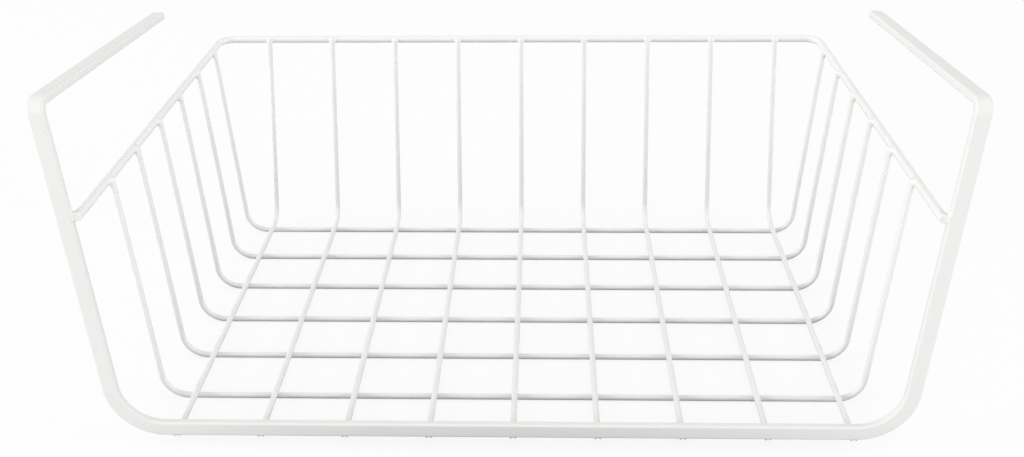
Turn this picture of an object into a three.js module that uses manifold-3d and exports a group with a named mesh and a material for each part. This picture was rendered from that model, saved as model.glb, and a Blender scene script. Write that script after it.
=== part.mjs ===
// Hanging storage basket of white coated wire. Two flat arms slide over a shelf board from its
// front edge, and the wire basket hangs below the board.
// Millimetres, +Z up, +Y towards the back. The part stands on its cross wires at z = 0.
import * as THREE from 'three';
import { mergeVertices } from 'three/addons/utils/BufferGeometryUtils.js';
import Module from 'manifold-3d';

const wasm = await Module();
wasm.setup();
const { Manifold, Mesh: SolidMesh } = wasm;

// Stock: round wires and one flat bar, coated
const WIRE_DIAMETER = 3;
const RIM_DIAMETER = 4;
const BAR_WIDTH = 7.5;
const BAR_THICKNESS = 4;
const BAR_EDGE_RADIUS = 0.8;
// Room left between two pieces that are welded to each other
const WELD_GAP = 0.2;

// Long wires run from front to back on the floor and turn up as the back wall
const LONG_COUNT = 9;
const LONG_PITCH = 41;
const LONG_PITCH_AT_RIM = 40;
// The row of long wires sits a little to the right of the middle
const LONG_OFFSET = 2;
// Each long wire ends level with the back of the front bar, its top this far above the bar's lower edge
const LONG_SEAT = 0.5;

// Cross wires run from side to side under the long wires and turn up as the side walls
const CROSS_COUNT = 6;
const CROSS_PITCH = 38;

// Bays between the outermost wires and what is next to them
const FRONT_BAY = 36.5;
const BACK_BAY = 10.5;
const SIDE_BAY = 12.5;

// Walls
const RIM_HEIGHT = 123.5;
const RIM_CORNER_RADIUS = 9;
const RIM_END_SETBACK = 1;
// Wires of the walls end this far below the top of the rim
const WALL_TOP_SETBACK = 0.8;
const SIDE_LEAN = THREE.MathUtils.degToRad(3.4);
const BACK_LEAN = THREE.MathUtils.degToRad(6.8);

// Front frame: bend radii are those of the bar's centre line
const FRAME_CORNER_RADIUS = 24.25;
const ARM_BEND_RADIUS = 5;
const ARM_HEIGHT = 176.5;
const ARM_LENGTH = 172;
const ARM_DROOP = THREE.MathUtils.degToRad(4);
const ARM_TIP_RADIUS = 2;

// Facets: sides of a round section, segments of a rounded edge, and the turn of one step in a bend
const WIRE_SIDES = 12;
const RIM_SIDES = 16;
const EDGE_SEGMENTS = 2;
const BEND_STEP = THREE.MathUtils.degToRad(10);

const COATING_COLOUR = 0xf4f2ec;
const COATING_ROUGHNESS = 0.42;
const COATING_METALNESS = 0;

// Heights of the centre lines, stacked from the surface that the basket stands on
const crossZ = WIRE_DIAMETER / 2;
const longZ = crossZ + WIRE_DIAMETER + WELD_GAP;
const barZ = longZ + WIRE_DIAMETER / 2 - LONG_SEAT + BAR_WIDTH / 2;
const wallTopZ = RIM_HEIGHT + RIM_DIAMETER / 2 - WALL_TOP_SETBACK;

// Depths, first measured from the front face of the bar
const firstCrossDepth = BAR_THICKNESS + FRONT_BAY;
const lastCrossDepth = firstCrossDepth + (CROSS_COUNT - 1) * CROSS_PITCH;
const footDepth = lastCrossDepth + BACK_BAY;
const wallDepthAtRim = footDepth + (RIM_HEIGHT - longZ) * Math.tan(BACK_LEAN);
const rimDepth = wallDepthAtRim + seat(WIRE_DIAMETER, RIM_DIAMETER, BACK_LEAN);
const frontY = -(rimDepth + RIM_DIAMETER / 2) / 2;

// Half widths, from the long wires outwards: foot of the side wall, rim, upright
const outerLongX = (LONG_COUNT - 1) / 2 * LONG_PITCH + Math.abs(LONG_OFFSET);
const sideFootX = outerLongX + SIDE_BAY;
const sideRise = Math.tan(SIDE_LEAN);
const legXAtRim = sideFootX + (RIM_HEIGHT - crossZ) * sideRise;
const rimX = legXAtRim + seat(WIRE_DIAMETER, RIM_DIAMETER, SIDE_LEAN);
const uprightXAtRim = rimX + seat(RIM_DIAMETER, BAR_WIDTH, SIDE_LEAN);

// Each wire starts its bend at the outermost wire that it crosses
const crossBendRadius = SIDE_BAY / Math.tan((Math.PI / 2 - SIDE_LEAN) / 2);
const longBendRadius = BACK_BAY / Math.tan((Math.PI / 2 - BACK_LEAN) / 2);

// Level distance between the centre lines of two welded pieces on a wall that leans
function seat(sizeA, sizeB, lean) {
  return (sizeA / 2 + WELD_GAP + sizeB / 2) / Math.cos(lean);
}

function uprightX(z) {
  return uprightXAtRim + (z - RIM_HEIGHT) * sideRise;
}

function point(x, y, z) {
  return new THREE.Vector3(x, y, z);
}

// A rod bent at its corners: straight runs joined by arcs. Its stations are the ends of each run
// and the steps of each arc. The section's first axis starts along across and is carried by the bends.
class BentRod extends THREE.Curve {
  constructor(corners, bendRadius, across) {
    super();
    this.across = across;
    this.stations = [];
    const last = corners.length - 1;
    const runs = corners.slice(1).map((corner, i) => corner.clone().sub(corners[i]).normalize());
    this.addStation(corners[0], runs[0]);
    for (let i = 1; i < last; i += 1) {
      this.addBend(corners[i], runs[i - 1], runs[i], bendRadius(i));
    }
    this.addStation(corners[last], runs[last - 1]);
  }

  addStation(place, along) {
    this.stations.push({ place: place.clone(), along: along.clone() });
  }

  addBend(corner, before, after, radius) {
    const turn = before.angleTo(after);
    const inward = after.clone().addScaledVector(before, -Math.cos(turn)).normalize();
    const start = corner.clone().addScaledVector(before, -radius * Math.tan(turn / 2));
    const steps = Math.ceil(turn / BEND_STEP);
    for (let step = 0; step <= steps; step += 1) {
      const angle = turn * step / steps;
      const place = start.clone();
      place.addScaledVector(before, radius * Math.sin(angle));
      place.addScaledVector(inward, radius * (1 - Math.cos(angle)));
      const along = before.clone().multiplyScalar(Math.cos(angle));
      along.addScaledVector(inward, Math.sin(angle));
      this.addStation(place, along);
    }
  }

  stationAt(u) {
    return this.stations[Math.round(u * (this.stations.length - 1))];
  }

  getPointAt(u, target = new THREE.Vector3()) {
    return target.copy(this.stationAt(u).place);
  }

  getTangentAt(u, target = new THREE.Vector3()) {
    return target.copy(this.stationAt(u).along);
  }

  computeFrenetFrames() {
    const tangents = this.stations.map((station) => station.along);
    const normals = [];
    const binormals = [];
    let carried = this.across;
    for (const along of tangents) {
      carried = carried.clone().projectOnPlane(along).normalize();
      normals.push(carried);
      binormals.push(along.clone().cross(carried));
    }
    return { tangents, normals, binormals };
  }
}

function sweep(section, rod) {
  return new THREE.ExtrudeGeometry(section, {
    extrudePath: rod,
    steps: rod.stations.length - 1,
    curveSegments: EDGE_SEGMENTS,
    bevelEnabled: false,
  });
}

// A round section with flats on its own axes, so that crossing wires seat flat to flat
function roundSection(diameter, sides) {
  const half = Math.PI / sides;
  const radius = diameter / 2 / Math.cos(half);
  const corners = [];
  for (let i = 0; i < sides; i += 1) {
    const angle = (2 * i + 1) * half;
    corners.push(new THREE.Vector2(radius * Math.cos(angle), radius * Math.sin(angle)));
  }
  return new THREE.Shape(corners);
}

function barSection() {
  const x = BAR_WIDTH / 2 - BAR_EDGE_RADIUS;
  const y = BAR_THICKNESS / 2 - BAR_EDGE_RADIUS;
  const quarter = Math.PI / 2;
  const shape = new THREE.Shape();
  shape.absarc(x, y, BAR_EDGE_RADIUS, 0, quarter);
  shape.absarc(-x, y, BAR_EDGE_RADIUS, quarter, 2 * quarter);
  shape.absarc(-x, -y, BAR_EDGE_RADIUS, 2 * quarter, 3 * quarter);
  shape.absarc(x, -y, BAR_EDGE_RADIUS, 3 * quarter, 4 * quarter);
  shape.closePath();
  return shape;
}

function solidOf(geometry) {
  const bare = new THREE.BufferGeometry();
  bare.setAttribute('position', geometry.getAttribute('position').clone());
  const joined = mergeVertices(bare);
  const mesh = new SolidMesh({
    numProp: 3,
    vertProperties: new Float32Array(joined.getAttribute('position').array),
    triVerts: new Uint32Array(joined.getIndex().array),
  });
  return new Manifold(mesh);
}

function geometryOf(solid) {
  const mesh = solid.getMesh();
  const indexed = new THREE.BufferGeometry();
  indexed.setAttribute('position', new THREE.BufferAttribute(mesh.vertProperties, 3));
  indexed.setIndex(new THREE.BufferAttribute(mesh.triVerts, 1));
  const geometry = indexed.toNonIndexed();
  geometry.computeVertexNormals();
  return geometry;
}

// One arm: where its centre line meets the upright's, the way it points, and its section's axes
function armOf(side) {
  const up = point(side * Math.sin(SIDE_LEAN), 0, Math.cos(SIDE_LEAN));
  const corner = point(side * uprightX(ARM_HEIGHT), frontY + BAR_THICKNESS / 2, ARM_HEIGHT);
  const along = point(0, Math.cos(ARM_DROOP), 0).addScaledVector(up, -Math.sin(ARM_DROOP));
  const tip = corner.clone().addScaledVector(along, ARM_LENGTH - BAR_THICKNESS / 2);
  const across = point(0, 1, 0).cross(up).normalize();
  return { corner, along, tip, across };
}

// What is cut away round the end of an arm to leave it square with rounded corners
function tipCutter({ along, tip, across }) {
  const half = BAR_WIDTH / 2;
  const round = ARM_TIP_RADIUS;
  const shape = new THREE.Shape();
  shape.moveTo(-BAR_WIDTH, -round);
  shape.lineTo(-half, -round);
  shape.absarc(round - half, -round, round, Math.PI, Math.PI / 2, true);
  shape.absarc(half - round, -round, round, Math.PI / 2, 0, true);
  shape.lineTo(BAR_WIDTH, -round);
  shape.lineTo(BAR_WIDTH, 2 * round);
  shape.lineTo(-BAR_WIDTH, 2 * round);
  shape.closePath();
  const cutter = new THREE.ExtrudeGeometry(shape, {
    depth: 2 * BAR_THICKNESS,
    curveSegments: EDGE_SEGMENTS,
    bevelEnabled: false,
  });
  cutter.translate(0, 0, -BAR_THICKNESS);
  const through = across.clone().cross(along);
  cutter.applyMatrix4(new THREE.Matrix4().makeBasis(across, along, through).setPosition(tip));
  return cutter;
}

// The bar runs from one arm's tip down its upright, along the bottom and up to the other arm's tip
function frontFrame() {
  const left = armOf(-1);
  const right = armOf(1);
  const bottomY = frontY + BAR_THICKNESS / 2;
  const corners = [
    left.tip.clone().addScaledVector(left.along, ARM_TIP_RADIUS),
    left.corner,
    point(-uprightX(barZ), bottomY, barZ),
    point(uprightX(barZ), bottomY, barZ),
    right.corner,
    right.tip.clone().addScaledVector(right.along, ARM_TIP_RADIUS),
  ];
  const isArmBend = (i) => i === 1 || i === corners.length - 2;
  const bendRadius = (i) => (isArmBend(i) ? ARM_BEND_RADIUS : FRAME_CORNER_RADIUS);
  const bar = solidOf(sweep(barSection(), new BentRod(corners, bendRadius, left.across)));
  const trimmed = bar.subtract(solidOf(tipCutter(left))).subtract(solidOf(tipCutter(right)));
  return geometryOf(trimmed);
}

// The rim runs level round the sides and the back, outside the wires, and ends beside the uprights
function rimWire() {
  const endY = frontY + RIM_END_SETBACK;
  const backY = frontY + rimDepth;
  const corners = [
    point(-rimX, endY, RIM_HEIGHT),
    point(-rimX, backY, RIM_HEIGHT),
    point(rimX, backY, RIM_HEIGHT),
    point(rimX, endY, RIM_HEIGHT),
  ];
  const rod = new BentRod(corners, () => RIM_CORNER_RADIUS, point(0, 0, 1));
  return sweep(roundSection(RIM_DIAMETER, RIM_SIDES), rod);
}

// A long wire at its floor line; fan is how far its top stands sideways from its foot at the rim
function longWire(fan) {
  const foot = point(0, frontY + footDepth, longZ);
  const atRim = point(fan, frontY + wallDepthAtRim, RIM_HEIGHT);
  const rise = atRim.clone().sub(foot);
  const top = foot.clone().addScaledVector(rise, (wallTopZ - longZ) / rise.z);
  const front = point(0, frontY + BAR_THICKNESS, longZ);
  const rod = new BentRod([front, foot, top], () => longBendRadius, point(0, 0, 1));
  return sweep(roundSection(WIRE_DIAMETER, WIRE_SIDES), rod);
}

// A cross wire at depth zero: the floor run and both legs, up to the rim
function crossWire() {
  const topX = sideFootX + (wallTopZ - crossZ) * sideRise;
  const corners = [
    point(-topX, 0, wallTopZ),
    point(-sideFootX, 0, crossZ),
    point(sideFootX, 0, crossZ),
    point(topX, 0, wallTopZ),
  ];
  const rod = new BentRod(corners, () => crossBendRadius, point(0, 1, 0));
  return sweep(roundSection(WIRE_DIAMETER, WIRE_SIDES), rod);
}

function piece(name, geometry) {
  const coating = new THREE.MeshStandardMaterial({
    color: COATING_COLOUR,
    roughness: COATING_ROUGHNESS,
    metalness: COATING_METALNESS,
  });
  const mesh = new THREE.Mesh(geometry, coating);
  mesh.name = name;
  return mesh;
}

const basket = new THREE.Group();
basket.name = 'hanging_basket';
basket.add(piece('front_frame', frontFrame()));
basket.add(piece('rim_wire', rimWire()));

const longWires = new THREE.Group();
longWires.name = 'long_wires';
for (let i = 0; i < LONG_COUNT; i += 1) {
  const place = i - (LONG_COUNT - 1) / 2;
  const wire = piece(`long_wire_${i + 1}`, longWire(place * (LONG_PITCH_AT_RIM - LONG_PITCH)));
  wire.position.x = LONG_OFFSET + place * LONG_PITCH;
  longWires.add(wire);
}
basket.add(longWires);

const crossWires = new THREE.Group();
crossWires.name = 'cross_wires';
for (let i = 0; i < CROSS_COUNT; i += 1) {
  const wire = piece(`cross_wire_${i + 1}`, crossWire());
  wire.position.y = frontY + firstCrossDepth + i * CROSS_PITCH;
  crossWires.add(wire);
}
basket.add(crossWires);

export default basket;
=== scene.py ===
"""The looks of a hanging storage basket: coated wires, rim and front bar, their welds, and a studio stage."""

import math

import bpy
import numpy as np
from mathutils import Matrix, Vector


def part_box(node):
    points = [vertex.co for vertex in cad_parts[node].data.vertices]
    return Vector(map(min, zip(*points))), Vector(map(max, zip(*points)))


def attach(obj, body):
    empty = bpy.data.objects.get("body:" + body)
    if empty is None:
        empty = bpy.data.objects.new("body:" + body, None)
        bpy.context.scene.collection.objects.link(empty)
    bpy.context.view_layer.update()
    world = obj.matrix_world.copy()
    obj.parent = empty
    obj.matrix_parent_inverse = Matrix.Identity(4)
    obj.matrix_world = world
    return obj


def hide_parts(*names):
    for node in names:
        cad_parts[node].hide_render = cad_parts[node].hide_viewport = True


bl_info = {
    "name": "Hanging storage basket",
    "version": (1, 0, 0),
    "blender": (4, 5, 0),
    "location": "View3D > Sidebar > Basket",
    "description": "Builds a hanging basket's coated wires, rim, front bar and welds, and a studio stage",
    "category": "Add Mesh",
}

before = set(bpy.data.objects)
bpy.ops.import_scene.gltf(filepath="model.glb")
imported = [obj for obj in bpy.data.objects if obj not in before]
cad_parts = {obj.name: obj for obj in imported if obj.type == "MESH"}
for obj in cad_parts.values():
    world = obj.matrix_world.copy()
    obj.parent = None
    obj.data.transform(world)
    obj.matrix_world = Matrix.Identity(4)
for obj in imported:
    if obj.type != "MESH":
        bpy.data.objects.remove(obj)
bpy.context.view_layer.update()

LONG_COUNT = sum(name.startswith("long_wire_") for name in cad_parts)
CROSS_COUNT = sum(name.startswith("cross_wire_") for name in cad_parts)
BODY = "root"

# Fineness of the meshes: sides of a round section, segments of a rounded edge, the turn of one step in a
# bend, and rings over the end of a wire and over the tip of an arm
WIRE_SIDES = 24
RIM_SIDES = 28
EDGE_SEGMENTS = 6
BEND_STEP = math.radians(5)
END_RINGS = 5
TIP_RINGS = 10
# Most of half the bar's thickness that a rounded edge takes, so that the bar's narrow sides never vanish
FULLEST_EDGE = 0.98

# Weld meshes: rings above and below the middle of the weld, in degrees, and points on each ring
WELD_LATITUDES = (3, 8, 14, 21, 29, 40, 58)
WELD_POINTS = 40
MARCH_STEPS = 48
# A weld's skin dips this far under the wires that it joins, so that the two skins never coincide
WELD_DIP = 0.00003
# The slope of a weld's skin is taken over this step
SLOPE_STEP = WELD_DIP / 3
# Longest way from the middle of a weld to its skin, beyond the weld's own spread
WELD_REACH = 0.0024
# Runs of a wire count for a weld within this many reaches of its middle
WELD_SEARCH = 3
# The end of a wire counts for points within this many radii of its centre line
END_SEARCH = 2
# Share of a weld's spread over which a bead flows into it
BEAD_BLEND = 0.5
# Keeps a division away from zero
NEVER_ZERO = 1e-12

# Patches in the coating: their size in metres, the noise's detail, and the noise that counts as none and full
COVER_PATCHES = {"size": 0.03, "detail": 2.0, "low": 0.35, "high": 0.75}
MOTTLE_PATCHES = {"size": 0.004, "detail": 3.0, "low": 0.3, "high": 0.8}
DULL_PATCHES = {"size": 0.009, "detail": 2.0, "low": 0.3, "high": 0.7}
# How far the thin coating shows in the patches of cover and in the mottle
COVER_SHARE = 0.22
MOTTLE_SHARE = 0.16
# Fine ripples in the coating: their size and height against the large ones, and the detail of both
FINE_SIZE = 0.25
FINE_HEIGHT = 0.2
RIPPLE_DETAIL = 1.0
# How the coating bends light and how strongly it mirrors
COATING_IOR = 1.5
COATING_SPECULAR = 0.2

# Stage in metres: half the floor's side, the lamps' side, their places and the point that they face
FLOOR_HALF = 4.0
LAMP_SIZE = 2.4
LEFT_LAMP = (-4.4, -1.2, 1.4)
FRONT_LAMP = (0, -4.6, 1.4)
RIGHT_LAMP = (4.4, -1.2, 1.4)
LAMP_TARGET = (0, 0, 0.06)
FLOOR_ROUGHNESS = 0.9
WHITE = (1, 1, 1, 1)

# The photograph's width in pixels, and the camera's sensor in millimetres
PICTURE_WIDTH = 1024
SENSOR_WIDTH = 36


def length(name, description, default):
    """A size in metres that a user may change."""
    return bpy.props.FloatProperty(
        name=name, description=description, default=default, min=0, precision=5, unit="LENGTH"
    )


def angle(name, description, degrees):
    """An angle that a user may change, given in degrees."""
    return bpy.props.FloatProperty(
        name=name, description=description, default=math.radians(degrees), subtype="ANGLE"
    )


def share(name, description, default):
    """A share from 0 to 1 that a user may change."""
    return bpy.props.FloatProperty(
        name=name, description=description, default=default, min=0, max=1, subtype="FACTOR"
    )


def colour(name, description, default):
    """A colour that a user may change."""
    return bpy.props.FloatVectorProperty(
        name=name, description=description, default=default, min=0, max=1, size=3, subtype="COLOR"
    )


def power(name, description, default):
    """The power of a lamp that a user may change."""
    return bpy.props.FloatProperty(name=name, description=description, default=default, min=0, unit="POWER")


class BasketSizes(bpy.types.PropertyGroup):
    """Sizes of the coated stock, of its bends and of the welds"""

    wire_diameter: length("Wire diameter", "Floor and wall wires, coating included", 0.003)
    rim_diameter: length("Rim diameter", "Rim wire, coating included", 0.0043)
    bar_width: length("Bar width", "Wide side of the front bar", 0.0075)
    bar_thickness: length("Bar thickness", "Narrow side of the front bar", 0.004)
    bar_edge: length("Bar edge", "Radius of the front bar's long edges", 0.0011)
    tip_edge: length("Tip edge", "Radius of the edges round the tip of an arm", 0.0017)
    cut_end: length("Cut end", "Radius of the edge round a wire end that is cut off square", 0.0004)
    domed_end: length("Domed end", "Radius of the edge round a wire end at the rim", 0.0013)
    weld_gap: length("Weld gap", "Room between two pieces that a weld joins", 0.0002)
    rim_sink: length("Rim sink", "How far the wall wires' tops are pressed into the rim", 0.0012)
    floor_weld: length("Floor weld", "How far a weld spreads where two floor wires cross", 0.001)
    rim_weld: length("Rim weld", "How far a weld spreads where a wire meets the rim", 0.0015)
    bar_weld: length("Bar weld", "How far a weld spreads where a wire meets the front bar", 0.0026)
    bead_width: length("Bead width", "Lump of weld at a long wire's front end, from side to side", 0.0058)
    bead_thickness: length("Bead thickness", "The same lump from top to bottom", 0.0018)
    bead_lead: length("Bead lead", "How far the lump's middle lies in front of the wire's end", 0.0006)
    long_pitch: length("Long wire pitch", "Distance between long wires on the floor", 0.041)
    long_pitch_at_rim: length("Long wire pitch at rim", "Distance between long wires at the rim", 0.04)
    long_offset: bpy.props.FloatProperty(
        name="Long wire offset",
        description="How far the row of long wires sits to the right of the middle",
        default=0.002,
        unit="LENGTH",
    )
    side_bay: length("Side bay", "From the outermost long wire to the foot of a side wall", 0.0125)
    back_bay: length("Back bay", "From the last cross wire to the foot of the back wall", 0.0105)
    side_lean: angle("Side lean", "How far the side walls and uprights lean out", 3.4)
    back_lean: angle("Back lean", "How far the back wall leans back", 6.8)
    wall_setback: length("Wall setback", "How far below the top of the rim the wall wires end", 0.0008)
    rim_corner: length("Rim corner", "Bend radius of the rim's centre line", 0.009)
    frame_corner: length("Frame corner", "Bend radius of the centre line at the lower corners", 0.02425)
    arm_bend: length("Arm bend", "Bend radius where an arm leaves its upright, at the centre line", 0.005)
    arm_height: length("Arm height", "Where the centre lines of an arm and its upright meet", 0.17648)
    arm_length: length("Arm length", "From the front of the bar to the tip of an arm", 0.172)
    arm_droop: angle("Arm droop", "How far an arm slopes down towards its tip", 4)
    arm_tip: length("Arm tip", "Corner radius at the tip of an arm", 0.002)


class CoatingLook(bpy.types.PropertyGroup):
    """Colours and surface of the coating"""

    # The bar and the wires carry one real coating; the wire colour is set lighter than the bar colour as
    # painted light, lifting the wires, which render darker over the floor's painted shade.
    bar_colour: colour("Bar colour", "Coating of the front bar", (0.83, 0.825, 0.81))
    wire_colour: colour("Wire colour", "Coating of the wires and the rim", (0.88, 0.875, 0.86))
    thin_colour: colour("Thin coating", "Where the coating lies thinner over the steel", (0.77, 0.765, 0.75))
    roughness: share("Roughness", "Mean roughness of the coating", 0.46)
    roughness_spread: share("Roughness spread", "How far the roughness varies", 0.1)
    peel_size: length("Peel size", "Size of the ripples in the coating", 0.0014)
    peel_depth: length("Peel depth", "Height of the ripples in the coating", 0.000006)


class StageLook(bpy.types.PropertyGroup):
    """Floor, lamps and camera"""

    floor_colour: colour("Floor colour", "Pale floor under the basket", (0.95, 0.95, 0.95))
    # Floor shade is painted shade: a dark sheet under the basket that only the light thrown onto the basket
    # meets, darkening the undersides of the floor wires and of the bottom bar. Shade near, shade far and
    # shade ratio give the size and shape of its oval.
    floor_shade: colour("Floor shade", "What the floor throws up close to the basket", (0.04, 0.04, 0.04))
    floor_bounce: colour("Floor bounce", "What the floor throws up farther out", (0.8, 0.8, 0.8))
    shade_near: length("Shade near", "How far from the middle the floor's shade is full", 0.18)
    shade_far: length("Shade far", "How far from the middle the floor's shade ends", 0.29)
    shade_ratio: bpy.props.FloatProperty(
        name="Shade ratio", description="Width of the floor's shade over its depth", default=1.35, min=0.1
    )
    floor_white: share("White share", "How much of the floor's look is plain white", 0.8)
    sky_strength: bpy.props.FloatProperty(
        name="Sky strength", description="Even light from all round", default=0.73, min=0
    )
    left_power: power("Left lamp", "Soft lamp low at the left", 112.0)
    front_power: power("Front lamp", "Soft lamp low at the front", 24.0)
    right_power: power("Right lamp", "Soft lamp low at the right", 80.0)
    camera_place: bpy.props.FloatVectorProperty(
        name="Camera place",
        description="Where the photograph was taken from",
        default=(0.01596, -0.58266, 0.34655),
        size=3,
        subtype="TRANSLATION",
        unit="LENGTH",
    )
    camera_pitch: angle("Camera pitch", "How far the camera looks down", 26.72)
    camera_yaw: angle("Camera yaw", "How far the camera looks to the right of straight ahead", -1.687)
    camera_roll: angle("Camera roll", "How far the camera's right side is raised", -0.604)
    camera_focus: bpy.props.FloatProperty(
        name="Focal length", description="In pixels of the photograph", default=1157.4, min=1
    )


class Layout:
    """Where the centre lines run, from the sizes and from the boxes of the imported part."""

    def __init__(self, sizes):
        self.sizes = sizes
        self.wire_radius = sizes.wire_diameter / 2
        self.rim_radius = sizes.rim_diameter / 2
        frame_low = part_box("front_frame")[0]
        rim_low, rim_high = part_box("rim_wire")
        long_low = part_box("long_wire_1")[0]
        self.bar_y = frame_low.y + sizes.bar_thickness / 2
        self.bar_z = frame_low.z + sizes.bar_width / 2
        self.rim_x = rim_high.x - self.rim_radius
        self.rim_front = rim_low.y
        self.rim_back = rim_high.y - self.rim_radius
        self.rim_z = rim_high.z - self.rim_radius
        self.rim_middle = (rim_low.z + rim_high.z) / 2
        packed_radius = rim_high.z - self.rim_middle
        beside_rim = (packed_radius + sizes.weld_gap + sizes.bar_width / 2) / math.cos(sizes.side_lean)
        self.upright_at_rim = rim_high.x - packed_radius + beside_rim
        self.long_front = long_low.y
        self.long_z = long_low.z + self.wire_radius
        self.top_z = rim_high.z - sizes.wall_setback
        self.cross_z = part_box("cross_wire_1")[0].z + self.wire_radius
        outer_long_x = (LONG_COUNT - 1) / 2 * sizes.long_pitch + abs(sizes.long_offset)
        self.side_foot_x = outer_long_x + sizes.side_bay
        self.foot_y = self.cross_y(CROSS_COUNT - 1) + sizes.back_bay
        self.cross_bend = sizes.side_bay / math.tan((math.pi / 2 - sizes.side_lean) / 2)
        self.long_bend = sizes.back_bay / math.tan((math.pi / 2 - sizes.back_lean) / 2)

    def cross_y(self, index):
        """Depth of a cross wire."""
        low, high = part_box(f"cross_wire_{index + 1}")
        return (low.y + high.y) / 2

    def long_x(self, index):
        """Place of a long wire across the floor."""
        place = index - (LONG_COUNT - 1) / 2
        return self.sizes.long_offset + place * self.sizes.long_pitch

    def upright_x(self, z):
        """Half the distance between the uprights' centre lines at a height."""
        return self.upright_at_rim + (z - self.rim_middle) * math.tan(self.sizes.side_lean)

    def wire_share(self):
        """How far the middle of a rim weld lies on the way from a wire's centre line to the rim's."""
        return self.wire_radius / (self.wire_radius + self.rim_radius)

    def upright_axes(self, side):
        """Axes of an upright on one side (-1 left, 1 right): up along it and across its wide face."""
        lean = self.sizes.side_lean
        up = Vector((side * math.sin(lean), 0, math.cos(lean)))
        across = Vector((0, 1, 0)).cross(up)
        return up, across

    def long_path(self, index):
        """Centre line of a long wire, from the back of the bar to the rim."""
        place = index - (LONG_COUNT - 1) / 2
        fan = place * (self.sizes.long_pitch_at_rim - self.sizes.long_pitch)
        x = self.long_x(index)
        foot = Vector((x, self.foot_y, self.long_z))
        wall = self.rim_z - self.long_z
        rise = Vector((fan, wall * math.tan(self.sizes.back_lean) + self.sizes.rim_sink, wall))
        top = foot + rise * ((self.top_z - self.long_z) / wall)
        front = Vector((x, self.long_front, self.long_z))
        return bent_path([front, foot, top], [self.long_bend])

    def cross_path(self, index):
        """Centre line of a cross wire, from one top end down, across the floor and up to the other."""
        y = self.cross_y(index)
        slope = math.tan(self.sizes.side_lean) + self.sizes.rim_sink / (self.rim_z - self.cross_z)
        top_x = self.side_foot_x + (self.top_z - self.cross_z) * slope
        corners = [
            Vector((-top_x, y, self.top_z)),
            Vector((-self.side_foot_x, y, self.cross_z)),
            Vector((self.side_foot_x, y, self.cross_z)),
            Vector((top_x, y, self.top_z)),
        ]
        return bent_path(corners, [self.cross_bend] * 2)

    def rim_path(self):
        """Centre line of the rim, from beside one upright round the back to the other."""
        corners = [
            Vector((-self.rim_x, self.rim_front, self.rim_z)),
            Vector((-self.rim_x, self.rim_back, self.rim_z)),
            Vector((self.rim_x, self.rim_back, self.rim_z)),
            Vector((self.rim_x, self.rim_front, self.rim_z)),
        ]
        return bent_path(corners, [self.sizes.rim_corner] * 2)

    def long_rod(self, index):
        """A long wire as a solid for welds."""
        return RoundRod(self.long_path(index), self.wire_radius, (self.sizes.cut_end, self.sizes.domed_end))

    def cross_rod(self, index):
        """A cross wire as a solid for welds."""
        return RoundRod(self.cross_path(index), self.wire_radius, [self.sizes.domed_end] * 2)

    def rim_rod(self):
        """The rim as a solid for welds."""
        return RoundRod(self.rim_path(), self.rim_radius, [self.sizes.cut_end] * 2)

    def frame_path(self):
        """Centre line of the front bar, from one arm's tip to the other's."""
        corners = []
        for side in (-1, 1):
            up = self.upright_axes(side)[0]
            shoulder_x = side * self.upright_x(self.sizes.arm_height)
            shoulder = Vector((shoulder_x, self.bar_y, self.sizes.arm_height))
            along = Vector((0, math.cos(self.sizes.arm_droop), 0)) - up * math.sin(self.sizes.arm_droop)
            tip = shoulder + along * (self.sizes.arm_length - self.sizes.bar_thickness / 2)
            foot = Vector((side * self.upright_x(self.bar_z), self.bar_y, self.bar_z))
            arm = [tip, shoulder, foot]
            corners += arm if side < 0 else arm[::-1]
        radii = [self.sizes.arm_bend, self.sizes.frame_corner, self.sizes.frame_corner, self.sizes.arm_bend]
        return bent_path(corners, radii)


def bent_path(corners, radii):
    """Places and directions along straight runs joined by arcs, as two arrays."""
    runs = [(after - before).normalized() for before, after in zip(corners, corners[1:])]
    places = [corners[0]]
    directions = [runs[0]]
    for corner, before, after, radius in zip(corners[1:], runs, runs[1:], radii):
        turn = before.angle(after)
        inward = (after - before * math.cos(turn)).normalized()
        start = corner - before * (radius * math.tan(turn / 2))
        steps = math.ceil(turn / BEND_STEP)
        for step in range(steps + 1):
            part = turn * step / steps
            ahead = before * (radius * math.sin(part))
            aside = inward * (radius * (1 - math.cos(part)))
            places.append(start + ahead + aside)
            directions.append(before * math.cos(part) + inward * math.sin(part))
    places.append(corners[-1])
    directions.append(runs[-1])
    return np.array(places), np.array(directions)


def carried_axes(directions, across):
    """Two axes of the section at each station: the first starts along across and is carried by the bends."""
    sides = []
    side = np.array(across, float)
    for along in directions:
        side = side - along * side.dot(along)
        side = side / np.linalg.norm(side)
        sides.append(side)
    sides = np.array(sides)
    return sides, np.cross(directions, sides)


def with_rounded_ends(places, directions, first_setbacks, last_setbacks):
    """The path with its two ends replaced by rings at the given setbacks from each end."""
    starts = [places[0] + directions[0] * setback for setback in first_setbacks]
    ends = [places[-1] - directions[-1] * setback for setback in last_setbacks[::-1]]
    count = len(first_setbacks)
    new_places = np.vstack([starts, places[1:-1], ends])
    new_directions = np.vstack([[directions[0]] * count, directions[1:-1], [directions[-1]] * count])
    return new_places, new_directions


def skin_of(rings, normals, tips, tip_normals):
    """Closed skin over rings of points, with a fan over each end. Gives points, faces and normals."""
    count, points = rings.shape[:2]
    faces = []
    for ring in range(count - 1):
        for point in range(points):
            after = (point + 1) % points
            near = ring * points
            far = near + points
            faces.append((near + point, near + after, far + after, far + point))
    first_tip = count * points
    last_ring = (count - 1) * points
    for point in range(points):
        after = (point + 1) % points
        faces.append((first_tip, after, point))
        faces.append((first_tip + 1, last_ring + point, last_ring + after))
    all_points = np.vstack([rings.reshape(-1, 3), tips])
    all_normals = np.vstack([normals.reshape(-1, 3), tip_normals])
    return all_points, faces, all_normals


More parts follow.
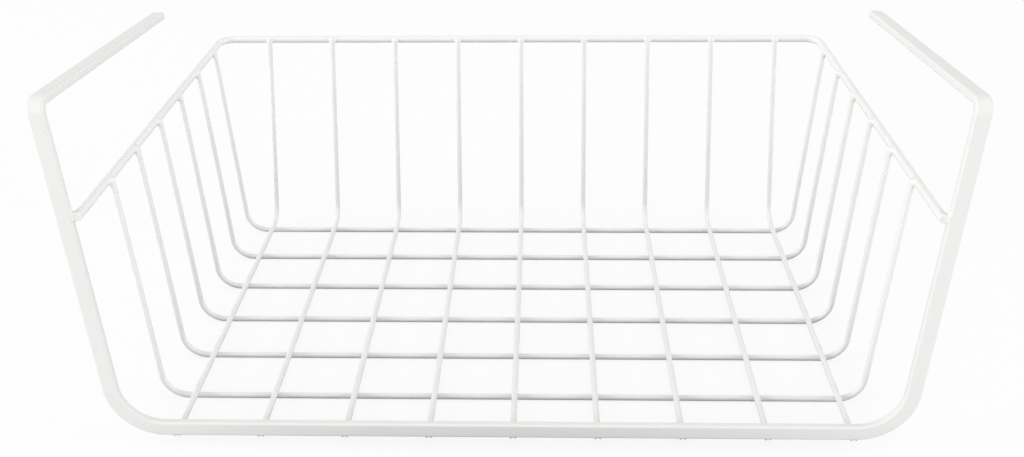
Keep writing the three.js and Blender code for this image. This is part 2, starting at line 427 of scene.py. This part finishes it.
def round_skin(path, across, radius, edges, sides):
    """Skin of a round rod along a path, with a rounded edge of its own at each end."""
    turns = np.linspace(0, math.pi / 2, END_RINGS)
    places, directions = with_rounded_ends(*path, *(edge * (1 - np.cos(turns)) for edge in edges))
    firsts, seconds = carried_axes(directions, across)
    middle = len(places) - 2 * END_RINGS
    rise = np.concatenate([np.sin(turns), np.ones(middle), np.sin(turns[::-1])])
    lean = np.concatenate([-np.cos(turns), np.zeros(middle), np.cos(turns[::-1])])
    depth = np.where(np.arange(len(places)) < len(places) / 2, *edges)
    radii = radius - depth * (1 - rise)
    around = np.arange(sides) * 2 * math.pi / sides
    out = firsts[:, None] * np.cos(around)[None, :, None] + seconds[:, None] * np.sin(around)[None, :, None]
    rings = places[:, None] + out * radii[:, None, None]
    normals = out * rise[:, None, None] + directions[:, None] * lean[:, None, None]
    tips = np.array([places[0], places[-1]])
    tip_normals = np.array([-directions[0], directions[-1]])
    return skin_of(rings, normals, tips, tip_normals)


def bar_outline(half_width, half_thickness, edge):
    """Points and normals of a rectangle with rounded corners, once round."""
    points = []
    normals = []
    for corner, (across, through) in enumerate(((1, 1), (-1, 1), (-1, -1), (1, -1))):
        for step in range(EDGE_SEGMENTS + 1):
            turn = (corner + step / EDGE_SEGMENTS) * math.pi / 2
            normal = (math.cos(turn), math.sin(turn))
            x = across * (half_width - edge) + edge * normal[0]
            y = through * (half_thickness - edge) + edge * normal[1]
            points.append((x, y))
            normals.append(normal)
    return np.array(points), np.array(normals)


def bar_skin(path, across, sizes):
    """Skin of the flat bar: square tips with rounded corners, and rounded edges all along."""
    turns = np.linspace(0, math.pi / 2, TIP_RINGS)
    setbacks = sizes.arm_tip * (1 - np.cos(turns))
    places, directions = with_rounded_ends(*path, setbacks, setbacks)
    firsts, seconds = carried_axes(directions, across)
    rings = []
    normals = []
    last = len(places) - 1
    for index, place in enumerate(places):
        end = min(index, last - index)
        outward = -directions[index] if index < last - index else directions[index]
        half_width = sizes.bar_width / 2
        half_thickness = sizes.bar_thickness / 2
        edge = sizes.bar_edge
        wide_sine = 1
        thick_sine = 1
        if end < len(setbacks):
            wide_sine = math.sin(turns[end])
            half_width -= sizes.arm_tip * (1 - wide_sine)
            left = 1 - min(setbacks[end] / sizes.tip_edge, 1)
            thick_sine = math.sqrt(1 - left * left)
            half_thickness -= sizes.tip_edge * (1 - thick_sine)
            edge = min(edge, half_thickness * FULLEST_EDGE)
        points, out = bar_outline(half_width, half_thickness, edge)
        rings.append(place + points[:, :1] * firsts[index] + points[:, 1:] * seconds[index])
        wide_cosine = math.sqrt(1 - wide_sine ** 2)
        thick_cosine = math.sqrt(1 - thick_sine ** 2)
        lean = np.abs(out[:, :1]) * wide_cosine + np.abs(out[:, 1:]) * thick_cosine
        level = out[:, :1] * wide_sine * firsts[index] + out[:, 1:] * thick_sine * seconds[index]
        normal = level + lean * outward
        normals.append(normal / np.linalg.norm(normal, axis=1)[:, None])
    tips = np.array([places[0], places[-1]])
    tip_normals = np.array([-directions[0], directions[-1]])
    return skin_of(np.array(rings), np.array(normals), tips, tip_normals)


class RoundRod:
    """A round rod as a solid for welds: how far a point lies outside it, and below zero inside."""

    def __init__(self, path, radius, edges):
        places, directions = path
        self.starts = places[:-1]
        self.spans = places[1:] - places[:-1]
        self.radius = radius - WELD_DIP
        self.ends = ((places[0], -directions[0], edges[0]), (places[-1], directions[-1], edges[1]))

    def near(self, centre, reach):
        """The runs of the rod that pass close to a place."""
        close = run_distance(centre[None], self.starts, self.spans)[0] < reach
        return self.starts[close], self.spans[close]

    def outside(self, points, runs):
        """Distance of each point from the rod's skin."""
        away = run_distance(points, *runs).min(1) - self.radius
        for place, outward, edge in self.ends:
            beyond = (points - place) @ outward + WELD_DIP
            aside = np.linalg.norm(points - place - beyond[:, None] * outward, axis=1)
            over = np.stack([aside - self.radius + edge, beyond + edge], 1)
            at_end = rounded_corner(over, edge)
            away = np.where((over[:, 1] > 0) & (aside < END_SEARCH * self.radius), at_end, away)
        return away


class FlatBar:
    """A straight stretch of the flat bar as a solid for welds."""

    def __init__(self, place, across, through, sizes):
        self.place = np.array(place)
        self.axes = np.array([across, through], float)
        self.edge = sizes.bar_edge
        self.half = np.array([sizes.bar_width, sizes.bar_thickness]) / 2 - sizes.bar_edge

    def near(self, centre, reach):
        """Every stretch is straight, so there is nothing to choose."""
        return None

    def in_front(self, points):
        """How far each point stands in front of the bar's front face."""
        return (self.place - points) @ self.axes[1] - self.half[1] - self.edge + WELD_DIP

    def outside(self, points, runs):
        """Distance of each point from the bar's skin."""
        over = np.abs((points - self.place) @ self.axes.T) - self.half
        return rounded_corner(over, self.edge) + WELD_DIP


def rounded_corner(over, edge):
    """Distance outside a rounded corner, from each point's two offsets past the centre of its arc."""
    corner = np.linalg.norm(np.maximum(over, 0), axis=1)
    return corner + np.minimum(over.max(1), 0) - edge


def run_distance(points, starts, spans):
    """Distance of each point from each straight run."""
    offset = points[:, None] - starts[None]
    along = (offset * spans).sum(2) / (spans * spans).sum(1)
    nearest = offset - np.clip(along, 0, 1)[..., None] * spans
    return np.linalg.norm(nearest, axis=2)


class Bead:
    """A lump of weld, wider across than it is thick."""

    def __init__(self, place, width, thickness):
        self.place = np.array(place)
        self.radii = np.array([width, thickness, thickness]) / 2

    def outside(self, points):
        """Nearly the distance of each point from the lump's skin."""
        offset = points - self.place
        share_out = np.linalg.norm(offset / self.radii, axis=1)
        steepness = np.linalg.norm(offset / self.radii ** 2, axis=1)
        return share_out * (share_out - 1) / np.maximum(steepness, NEVER_ZERO)


def blended(first, second, blend):
    """Distance outside two solids whose skins flow into each other."""
    overlap = np.maximum(blend - np.abs(first - second), 0)
    return np.minimum(first, second) - overlap ** 2 / (4 * blend)


def weld_skin(centre, pole, across, first, second, blend, bead=None):
    """Skin of the fillet between two pieces, seen from the middle of their contact."""
    centre = np.array(centre, float)
    pole = np.array(pole, float)
    side = np.array(across, float)
    other = np.cross(pole, side)
    reach = WELD_REACH + blend
    first_runs = first.near(centre, WELD_SEARCH * reach)
    second_runs = second.near(centre, WELD_SEARCH * reach)

    def outside(points):
        away = blended(first.outside(points, first_runs), second.outside(points, second_runs), blend)
        if bead:
            away = blended(away, bead.outside(points), blend * BEAD_BLEND)
        if isinstance(second, FlatBar):
            away = np.maximum(away, second.in_front(points))
        return away

    latitudes = np.radians([-latitude for latitude in WELD_LATITUDES[::-1]] + list(WELD_LATITUDES))
    around = np.arange(WELD_POINTS) * 2 * math.pi / WELD_POINTS
    level = np.cos(around)[:, None] * side + np.sin(around)[:, None] * other
    rays = np.cos(latitudes)[:, None, None] * level[None] + np.sin(latitudes)[:, None, None] * pole
    rays = np.vstack([rays.reshape(-1, 3), -pole, pole])
    travel = np.zeros(len(rays))
    for _ in range(MARCH_STEPS):
        depth = np.maximum(-outside(centre + rays * travel[:, None]), 0)
        travel = np.minimum(travel + depth, reach)
    points = centre + rays * travel[:, None]
    normals = np.zeros_like(points)
    for axis in range(3):
        shift = np.zeros(3)
        shift[axis] = SLOPE_STEP
        normals[:, axis] = outside(points + shift) - outside(points - shift)
    normals /= np.maximum(np.linalg.norm(normals, axis=1), NEVER_ZERO)[:, None]
    rings = points[:-2].reshape(len(latitudes), WELD_POINTS, 3)
    ring_normals = normals[:-2].reshape(rings.shape)
    return skin_of(rings, ring_normals, points[-2:], normals[-2:])


def piece_from(name, skins, coating, slot, *nodes):
    """One piece of the basket from one or more closed skins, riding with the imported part."""
    points = []
    faces = []
    normals = []
    start = 0
    for skin_points, skin_faces, skin_normals in skins:
        points.append(skin_points)
        normals.append(skin_normals)
        faces += [tuple(start + corner for corner in face) for face in skin_faces]
        start += len(skin_points)
    mesh = bpy.data.meshes.new(name)
    mesh.from_pydata(np.vstack(points).tolist(), [], faces)
    if mesh.validate():
        raise ValueError(f"{name} has faulty faces")
    mesh.shade_smooth()
    mesh.normals_split_custom_set_from_vertices(np.vstack(normals).tolist())
    mesh.materials.append(coating)
    piece = bpy.data.objects.new(name, mesh)
    bpy.context.scene.collection.objects.link(piece)
    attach(piece, BODY)
    if nodes:
        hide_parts(*nodes)


class Value:
    """A socket's value in a shader, on which plain arithmetic adds Math nodes."""

    def __init__(self, shader, socket):
        self.shader = shader
        self.socket = socket

    def maths(self, operation, first, second):
        """The value of a Math node on two numbers or values."""
        return self.shader.node(
            "ShaderNodeMath", {"operation": operation}, {"Value": first, "Value_001": second}
        )["Value"]

    def __add__(self, other):
        return self.maths("ADD", self, other)

    def __radd__(self, other):
        return self.maths("ADD", other, self)

    def __mul__(self, other):
        return self.maths("MULTIPLY", self, other)

    def __rmul__(self, other):
        return self.maths("MULTIPLY", other, self)


class Shader:
    """Adds nodes to one material's or the world's node tree."""

    def __init__(self, owner):
        owner.use_nodes = True
        self.tree = owner.node_tree
        self.tree.nodes.clear()

    def node(self, kind, settings, sockets):
        """A node with its settings, then its sockets' values or links. Gives its outputs by identifier."""
        node = self.tree.nodes.new(kind)
        for name, setting in settings.items():
            setattr(node, name, setting)
        inputs = {socket.identifier: socket for socket in node.inputs}
        for name, value in sockets.items():
            if isinstance(value, Value):
                self.tree.links.new(value.socket, inputs[name])
            else:
                inputs[name].default_value = value
        return {socket.identifier: Value(self, socket) for socket in node.outputs}

    def noise(self, place, size, detail):
        """Soft noise from 0 to 1 whose features have about the given size in metres."""
        sockets = {"Vector": place, "Scale": 1 / size, "Detail": detail}
        return self.node("ShaderNodeTexNoise", {}, sockets)["Fac"]

    def spread(self, value, low, high):
        """The value stretched so that low becomes 0 and high becomes 1."""
        sockets = {"Value": value, "From Min": low, "From Max": high}
        return self.node("ShaderNodeMapRange", {"clamp": True}, sockets)["Result"]

    def patches(self, place, size, detail, low, high):
        """Soft patches from 0 to 1 of about the given size in metres."""
        return self.spread(self.noise(place, size, detail), low, high)

    def blend(self, factor, first, second):
        """A colour between two colours."""
        sockets = {"Factor_Float": factor, "A_Color": first, "B_Color": second}
        return self.node("ShaderNodeMix", {"data_type": "RGBA"}, sockets)["Result_Color"]


def coating_material(name, main_colour, look):
    """Warm white coating, satin, with soft ripples and slightly uneven cover."""
    found = bpy.data.materials.get(name)
    if found:
        return found
    material = bpy.data.materials.new(name)
    shader = Shader(material)
    place = shader.node("ShaderNodeTexCoord", {}, {})["Object"]
    cover = shader.patches(place, **COVER_PATCHES)
    mottle = shader.patches(place, **MOTTLE_PATCHES)
    thin = cover * COVER_SHARE + mottle * MOTTLE_SHARE
    tint = shader.blend(thin, (*main_colour, 1), (*look.thin_colour, 1))
    dull = shader.patches(place, **DULL_PATCHES)
    roughness = look.roughness - look.roughness_spread / 2 + dull * look.roughness_spread
    large_ripples = shader.noise(place, look.peel_size, RIPPLE_DETAIL)
    fine_ripples = shader.noise(place, look.peel_size * FINE_SIZE, RIPPLE_DETAIL)
    ripples = large_ripples + fine_ripples * FINE_HEIGHT
    bump = shader.node(
        "ShaderNodeBump", {}, {"Strength": 1.0, "Distance": look.peel_depth, "Height": ripples}
    )["Normal"]
    surface = shader.node(
        "ShaderNodeBsdfPrincipled",
        {},
        {
            "Base Color": tint,
            "Roughness": roughness,
            "Normal": bump,
            "IOR": COATING_IOR,
            "Specular IOR Level": COATING_SPECULAR,
        },
    )["BSDF"]
    shader.node("ShaderNodeOutputMaterial", {}, {"Surface": surface})
    return material


def wire_coating(context):
    """Coating of the wires, the rim and their welds."""
    look = context.scene.basket_coating
    return coating_material("white_wire_coating", look.wire_colour, look)


def bar_coating(context):
    """Coating of the front bar and its welds."""
    look = context.scene.basket_coating
    return coating_material("white_bar_coating", look.bar_colour, look)


class MakeFrontBar(bpy.types.Operator):
    """Builds the flat bar that makes both shelf arms, both uprights and the front edge"""

    bl_idname = "basket.front_bar"
    bl_label = "Front bar"

    def execute(self, context):
        sizes = context.scene.basket_sizes
        layout = Layout(sizes)
        across = layout.upright_axes(-1)[1]
        skin = bar_skin(layout.frame_path(), across, sizes)
        piece_from("front_bar", [skin], bar_coating(context), "frame_coating", "front_frame")
        return {"FINISHED"}


class MakeRim(bpy.types.Operator):
    """Builds the thicker wire that runs round the sides and the back"""

    bl_idname = "basket.rim"
    bl_label = "Rim"

    def execute(self, context):
        sizes = context.scene.basket_sizes
        layout = Layout(sizes)
        skin = round_skin(layout.rim_path(), (0, 0, 1), layout.rim_radius, [sizes.cut_end] * 2, RIM_SIDES)
        piece_from("rim_rod", [skin], wire_coating(context), "wire_coating", "rim_wire")
        return {"FINISHED"}


class MakeLongWires(bpy.types.Operator):
    """Builds the wires that run from the front bar over the floor and up the back wall"""

    bl_idname = "basket.long_wires"
    bl_label = "Long wires"

    def execute(self, context):
        sizes = context.scene.basket_sizes
        layout = Layout(sizes)
        for index in range(LONG_COUNT):
            path = layout.long_path(index)
            edges = (sizes.cut_end, sizes.domed_end)
            skin = round_skin(path, (0, 0, 1), layout.wire_radius, edges, WIRE_SIDES)
            name = f"long_rod_{index + 1}"
            piece_from(name, [skin], wire_coating(context), "wire_coating", f"long_wire_{index + 1}")
        return {"FINISHED"}


class MakeCrossWires(bpy.types.Operator):
    """Builds the wires that run down one side wall, under the long wires and up the other wall"""

    bl_idname = "basket.cross_wires"
    bl_label = "Cross wires"

    def execute(self, context):
        sizes = context.scene.basket_sizes
        layout = Layout(sizes)
        for index in range(CROSS_COUNT):
            path = layout.cross_path(index)
            skin = round_skin(path, (0, 1, 0), layout.wire_radius, [sizes.domed_end] * 2, WIRE_SIDES)
            name = f"cross_rod_{index + 1}"
            piece_from(name, [skin], wire_coating(context), "wire_coating", f"cross_wire_{index + 1}")
        return {"FINISHED"}


class MakeFloorWelds(bpy.types.Operator):
    """Builds the fillets where long wires lie on cross wires"""

    bl_idname = "basket.floor_welds"
    bl_label = "Floor welds"

    def execute(self, context):
        sizes = context.scene.basket_sizes
        layout = Layout(sizes)
        height = (layout.long_z + layout.cross_z) / 2
        cross_rods = [layout.cross_rod(index) for index in range(CROSS_COUNT)]
        skins = []
        for long_index in range(LONG_COUNT):
            long_rod = layout.long_rod(long_index)
            for cross_index, cross_rod in enumerate(cross_rods):
                centre = (layout.long_x(long_index), layout.cross_y(cross_index), height)
                skins.append(weld_skin(centre, (0, 0, 1), (1, 0, 0), long_rod, cross_rod, sizes.floor_weld))
        piece_from("floor_welds", skins, wire_coating(context), "wire_coating")
        return {"FINISHED"}


class MakeRimWelds(bpy.types.Operator):
    """Builds the fillets where wire ends meet the rim"""

    bl_idname = "basket.rim_welds"
    bl_label = "Rim welds"

    def execute(self, context):
        sizes = context.scene.basket_sizes
        layout = Layout(sizes)
        rim = layout.rim_rod()
        skins = []
        for index in range(LONG_COUNT):
            centre = place_at_height(layout.long_path(index), -1, layout.rim_z)
            centre += Vector((0, (layout.rim_back - centre.y) * layout.wire_share(), 0))
            rod = layout.long_rod(index)
            skins.append(weld_skin(centre, (0, 1, 0), (1, 0, 0), rod, rim, sizes.rim_weld))
        for index in range(CROSS_COUNT):
            path = layout.cross_path(index)
            rod = layout.cross_rod(index)
            for end, side in ((0, -1), (-1, 1)):
                centre = place_at_height(path, end, layout.rim_z)
                centre += Vector(((side * layout.rim_x - centre.x) * layout.wire_share(), 0, 0))
                skins.append(weld_skin(centre, (side, 0, 0), (0, 1, 0), rod, rim, sizes.rim_weld))
        piece_from("rim_welds", skins, wire_coating(context), "wire_coating")
        return {"FINISHED"}


class MakeBarWelds(bpy.types.Operator):
    """Builds the fillets where long wires and the rim's ends meet the front bar"""

    bl_idname = "basket.bar_welds"
    bl_label = "Bar welds"

    def execute(self, context):
        sizes = context.scene.basket_sizes
        layout = Layout(sizes)
        bottom = FlatBar((0, layout.bar_y, layout.bar_z), (0, 0, 1), (0, 1, 0), sizes)
        seam_z = (layout.long_z + layout.wire_radius + layout.bar_z - sizes.bar_width / 2) / 2
        skins = []
        for index in range(LONG_COUNT):
            centre = (layout.long_x(index), layout.long_front, seam_z)
            rod = layout.long_rod(index)
            bead_y = layout.long_front - sizes.bead_lead
            bead = Bead((layout.long_x(index), bead_y, layout.long_z), sizes.bead_width, sizes.bead_thickness)
            skins.append(weld_skin(centre, (0, 1, 0), (1, 0, 0), rod, bottom, sizes.bar_weld, bead))
        rim = layout.rim_rod()
        beside_y = (layout.rim_front + sizes.cut_end + layout.bar_y + sizes.bar_thickness / 2) / 2
        for side in (-1, 1):
            across = layout.upright_axes(side)[1]
            place = (side * layout.upright_x(layout.rim_z), layout.bar_y, layout.rim_z)
            upright = FlatBar(place, across, (0, 1, 0), sizes)
            beside_x = side * (layout.rim_x + layout.rim_radius + sizes.weld_gap / 2)
            centre = (beside_x, beside_y, layout.rim_z)
            skins.append(weld_skin(centre, (side, 0, 0), (0, 1, 0), rim, upright, sizes.bar_weld))
        piece_from("bar_welds", skins, bar_coating(context), "frame_coating")
        return {"FINISHED"}


def place_at_height(path, end, height):
    """Where the straight run at one end of a path passes a height."""
    place = Vector(path[0][end])
    along = Vector(path[1][end])
    return place + along * ((height - place.z) / along.z)


def floor_mesh(half_size):
    """A flat square at the height that the basket stands on."""
    mesh = bpy.data.meshes.new("floor")
    corners = [(x * half_size, y * half_size, 0) for x, y in ((-1, -1), (1, -1), (1, 1), (-1, 1))]
    mesh.from_pydata(corners, [], [(0, 1, 2, 3)])
    return mesh


def seen_share(shader):
    """1 for what is looked at, straight, in a reflection or through glass, and 0 for light thrown on."""
    rays = shader.node("ShaderNodeLightPath", {}, {})
    return rays["Is Camera Ray"] + rays["Is Glossy Ray"] + rays["Is Transmission Ray"]


def floor_material(look):
    """Floor that looks pale, keeps the basket's shadow and throws little light up close to the basket,
    through painted shade that only thrown light meets.
    """
    material = bpy.data.materials.new("pale_floor")
    shader = Shader(material)
    # Painted shade: the light that the floor throws up is dark in an oval round the basket's middle and pale
    # farther out, and the camera and reflections never see it
    place = shader.node("ShaderNodeTexCoord", {}, {})["Object"]
    squeeze = {"Vector": place, "Vector_001": (1, look.shade_ratio, 1)}
    squeezed = shader.node("ShaderNodeVectorMath", {"operation": "MULTIPLY"}, squeeze)["Vector"]
    away = shader.node("ShaderNodeVectorMath", {"operation": "LENGTH"}, {"Vector": squeezed})["Value"]
    beyond_painted_shade = shader.spread(away, look.shade_near, look.shade_far)
    thrown = shader.blend(beyond_painted_shade, (*look.floor_shade, 1), (*look.floor_bounce, 1))
    seen_colour = (*look.floor_colour, 1)
    matt = {"Roughness": FLOOR_ROUGHNESS, "Specular IOR Level": 0.0}
    dull = shader.node("ShaderNodeBsdfPrincipled", {}, {"Base Color": thrown, **matt})["BSDF"]
    pale = shader.node("ShaderNodeBsdfPrincipled", {}, {"Base Color": seen_colour, **matt})["BSDF"]
    white = shader.node("ShaderNodeEmission", {}, {"Color": WHITE, "Strength": 1.0})["Emission"]
    bright = shader.node(
        "ShaderNodeMixShader", {}, {"Fac": look.floor_white, "Shader": pale, "Shader_001": white}
    )["Shader"]
    surface = shader.node(
        "ShaderNodeMixShader", {}, {"Fac": seen_share(shader), "Shader": dull, "Shader_001": bright}
    )["Shader"]
    shader.node("ShaderNodeOutputMaterial", {}, {"Surface": surface})
    return material


def soft_lamp(name, watts, place):
    """A square lamp of even light, turned to the basket."""
    light = bpy.data.lights.new(name, "AREA")
    light.shape = "SQUARE"
    light.size = LAMP_SIZE
    light.energy = watts
    lamp = bpy.data.objects.new(name, light)
    lamp.location = place
    towards = Vector(LAMP_TARGET) - Vector(place)
    lamp.rotation_euler = towards.to_track_quat("-Z", "Y").to_euler()
    bpy.context.scene.collection.objects.link(lamp)


def photo_camera(look):
    """A camera at the photograph's place and angle."""
    data = bpy.data.cameras.new("photo_camera")
    data.sensor_fit = "HORIZONTAL"
    data.sensor_width = SENSOR_WIDTH
    data.lens = look.camera_focus / PICTURE_WIDTH * SENSOR_WIDTH
    pitch = look.camera_pitch
    yaw = look.camera_yaw
    forward = Vector((math.sin(yaw) * math.cos(pitch), math.cos(yaw) * math.cos(pitch), -math.sin(pitch)))
    level = forward.cross(Vector((0, 0, 1))).normalized()
    upright = level.cross(forward)
    roll = look.camera_roll
    right = level * math.cos(roll) + upright * math.sin(roll)
    up = upright * math.cos(roll) - level * math.sin(roll)
    camera = bpy.data.objects.new("photo_camera", data)
    turned = Matrix((right, up, -forward)).transposed().to_4x4()
    camera.matrix_world = Matrix.Translation(Vector(look.camera_place)) @ turned
    bpy.context.scene.collection.objects.link(camera)
    bpy.context.scene.camera = camera


class MakeStage(bpy.types.Operator):
    """Sets the pale floor, the soft lamps, the even sky and the camera"""

    bl_idname = "basket.stage"
    bl_label = "Stage"

    def execute(self, context):
        look = context.scene.basket_stage
        mesh = floor_mesh(FLOOR_HALF)
        mesh.materials.append(floor_material(look))
        floor = bpy.data.objects.new("floor", mesh)
        context.scene.collection.objects.link(floor)
        soft_lamp("left_lamp", look.left_power, LEFT_LAMP)
        soft_lamp("front_lamp", look.front_power, FRONT_LAMP)
        soft_lamp("right_lamp", look.right_power, RIGHT_LAMP)
        world = bpy.data.worlds.new("even_sky")
        sky = Shader(world)
        light = sky.node("ShaderNodeBackground", {}, {"Color": WHITE, "Strength": look.sky_strength})
        white = sky.node("ShaderNodeBackground", {}, {"Color": WHITE, "Strength": 1.0})
        surface = sky.node(
            "ShaderNodeMixShader",
            {},
            {"Fac": seen_share(sky), "Shader": light["Background"], "Shader_001": white["Background"]},
        )["Shader"]
        sky.node("ShaderNodeOutputWorld", {}, {"Surface": surface})
        context.scene.world = world
        context.scene.view_settings.view_transform = "Standard"
        photo_camera(look)
        return {"FINISHED"}


class BasketPanel(bpy.types.Panel):
    """Lists what can be built and the sizes and colours it takes"""

    bl_idname = "VIEW3D_PT_hanging_basket"
    bl_label = "Hanging basket"
    bl_space_type = "VIEW_3D"
    bl_region_type = "UI"
    bl_category = "Basket"

    def draw(self, context):
        for maker in MAKERS:
            self.layout.operator(maker.bl_idname)
        for group in (context.scene.basket_sizes, context.scene.basket_coating, context.scene.basket_stage):
            box = self.layout.box()
            for name in group.__annotations__:
                box.prop(group, name)


MAKERS = (
    MakeFrontBar,
    MakeRim,
    MakeLongWires,
    MakeCrossWires,
    MakeFloorWelds,
    MakeRimWelds,
    MakeBarWelds,
    MakeStage,
)
CLASSES = (BasketSizes, CoatingLook, StageLook, *MAKERS, BasketPanel)


def register():
    """Makes the classes and the three groups of settings known."""
    for kind in CLASSES:
        bpy.utils.register_class(kind)
    bpy.types.Scene.basket_sizes = bpy.props.PointerProperty(type=BasketSizes)
    bpy.types.Scene.basket_coating = bpy.props.PointerProperty(type=CoatingLook)
    bpy.types.Scene.basket_stage = bpy.props.PointerProperty(type=StageLook)


def unregister():
    """Takes the groups of settings and the classes out again."""
    del bpy.types.Scene.basket_stage
    del bpy.types.Scene.basket_coating
    del bpy.types.Scene.basket_sizes
    for kind in reversed(CLASSES):
        bpy.utils.unregister_class(kind)


def main():
    """Builds the basket and its stage."""
    register()
    bpy.ops.basket.front_bar()
    bpy.ops.basket.rim()
    bpy.ops.basket.long_wires()
    bpy.ops.basket.cross_wires()
    bpy.ops.basket.floor_welds()
    bpy.ops.basket.rim_welds()
    bpy.ops.basket.bar_welds()
    bpy.ops.basket.stage()


if __name__ == "__main__":
    main()
